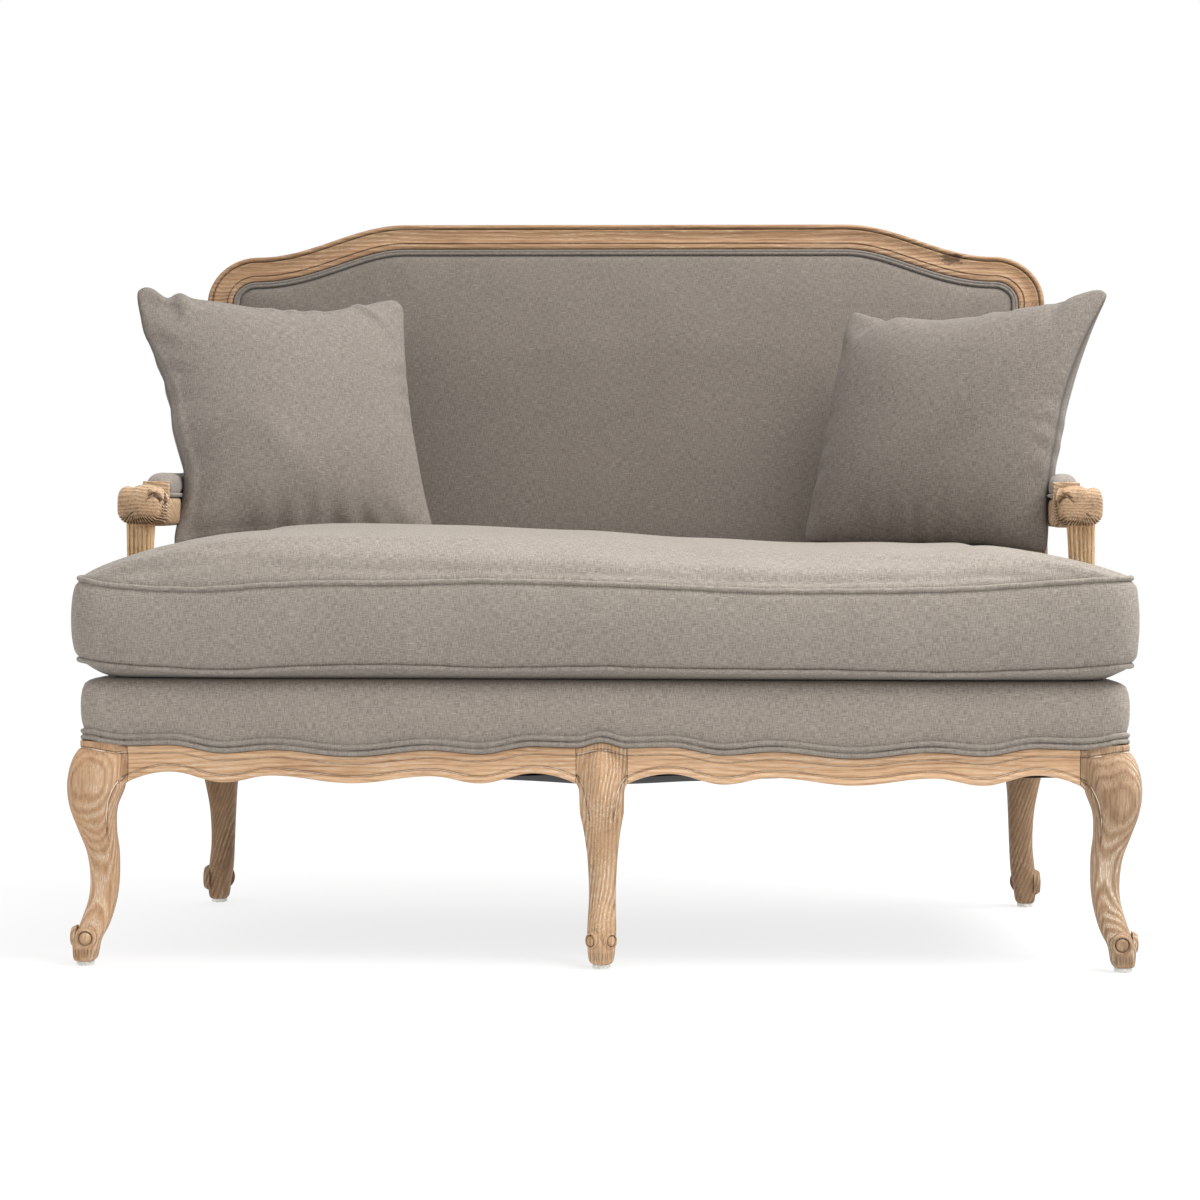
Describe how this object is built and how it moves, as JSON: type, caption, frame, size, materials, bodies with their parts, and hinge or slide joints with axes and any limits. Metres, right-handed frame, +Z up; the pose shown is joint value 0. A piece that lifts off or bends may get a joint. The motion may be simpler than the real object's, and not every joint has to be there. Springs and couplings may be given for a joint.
{
  "type": "settee",
  "caption": "Louis XV style loveseat settee with a limed oak show frame, cabriole legs, open padded arms, tight back, loose T-shaped seat cushion and throw pillows.",
  "frame": {"origin": "on the floor, under the middle of the settee", "axes": "+X across the seat towards the right as seen from the front, +Y towards the back, +Z up"},
  "size_m": [1.379, 0.7821, 1.0196],
  "materials": {
    "limed_oak": "matte",
    "beech": "matte",
    "linen": "matte",
    "foam": "matte",
    "webbing": "matte",
    "cambric": "matte",
    "nylon": "satin",
    "steel": "satin"
  },
  "bodies": {
    "frame": {"arm_left": "limed_oak", "arm_pad_left": "linen", "arm_pad_right": "linen", "arm_pad_welt_left": "linen", "arm_pad_welt_right": "linen", "arm_post_left": "limed_oak", "arm_post_right": "limed_oak", "arm_right": "limed_oak", "back_foam": "foam", "back_lower_rail": "beech", "back_webbing": "webbing", "corner_block_front_left": "beech", "corner_block_front_left_screw": "steel", "corner_block_front_right": "beech", "corner_block_front_right_screw": "steel", "corner_block_rear_left": "beech", "corner_block_rear_left_screw": "steel", "corner_block_rear_right": "beech", "corner_block_rear_right_screw": "steel", "crest_rail": "limed_oak", "deck_cover": "linen", "deck_foam": "foam", "deck_welt": "linen", "dust_cover": "cambric", "foot_glide_front_centre": "nylon", "foot_glide_front_left": "nylon", "foot_glide_front_right": "nylon", "foot_glide_rear_left": "nylon", "foot_glide_rear_right": "nylon", "front_leg_centre": "limed_oak", "front_leg_left": "limed_oak", "front_leg_right": "limed_oak", "front_rail_left": "limed_oak", "front_rail_right": "limed_oak", "inside_back_cover": "linen", "inside_back_welt": "linen", "outside_back_cover": "linen", "outside_back_welt": "linen", "rear_post_left": "limed_oak", "rear_post_right": "limed_oak", "rear_seat_rail": "beech", "seat_centre_brace": "beech", "seat_webbing": "webbing", "side_rail_left": "limed_oak", "side_rail_right": "limed_oak"},
    "seat_cushion": {"seat_cushion": "linen", "seat_cushion_welt_low": "linen", "seat_cushion_welt_high": "linen"},
    "throw_pillow_left": {"throw_pillow_left": "linen"},
    "throw_pillow_right": {"throw_pillow_right": "linen"}
  },
  "joints": [
    {"name": "seat_cushion_slide", "type": "slide", "parent": "frame", "child": "seat_cushion", "axis": [0, -1, 0], "range_m": [0, 0.6]},
    {"name": "throw_pillow_slide_left", "type": "slide", "parent": "frame", "child": "throw_pillow_left", "axis": [0.4504, -0.3003, 0.8408], "range_m": [0, 0.3]},
    {"name": "throw_pillow_slide_right", "type": "slide", "parent": "frame", "child": "throw_pillow_right", "axis": [-0.4504, -0.3003, 0.8408], "range_m": [0, 0.3]}
  ]
}
